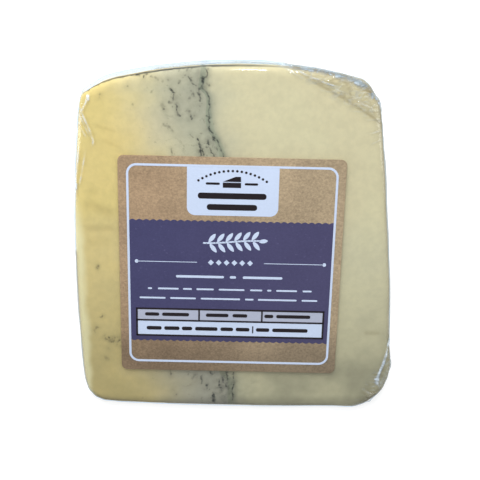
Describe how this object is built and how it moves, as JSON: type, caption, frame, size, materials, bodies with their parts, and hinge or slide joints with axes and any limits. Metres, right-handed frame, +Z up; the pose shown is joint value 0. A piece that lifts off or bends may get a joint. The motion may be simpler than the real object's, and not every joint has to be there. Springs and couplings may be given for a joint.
{
  "type": "ash-veined sheep and goat cheese wedge",
  "caption": "Wedge of two-milk cheese, a sheep layer and a goat layer parted by a wavy ash vein, in clear shrink film with a square paper label on the upper cut face.",
  "frame": {"origin": "middle of the flat base, under the centre of the whole, with the wedge lying on its lower cut face", "axes": "+Z up, +Y from the blunt tip to the wheel's rim, +X from the sheep layer to the goat layer along the wheel's axis"},
  "size_m": [0.11, 0.1242, 0.035],
  "materials": {
    "sheep_cheese": "firm pale yellow cheese, moist satin cut face",
    "ash": "grey-black vegetable ash pressed into cheese",
    "goat_cheese": "firm ivory cheese, moist satin cut face",
    "film": "clear glossy shrink film with gathers at the corners",
    "kraft_paper": "uncoated brown kraft paper, printed with plain bars and bands"
  },
  "bodies": {
    "root": {"sheep_layer": "sheep_cheese", "ash_vein": "ash", "goat_layer": "goat_cheese", "clear_film": "film", "label": "kraft_paper"}
  },
  "joints": []
}
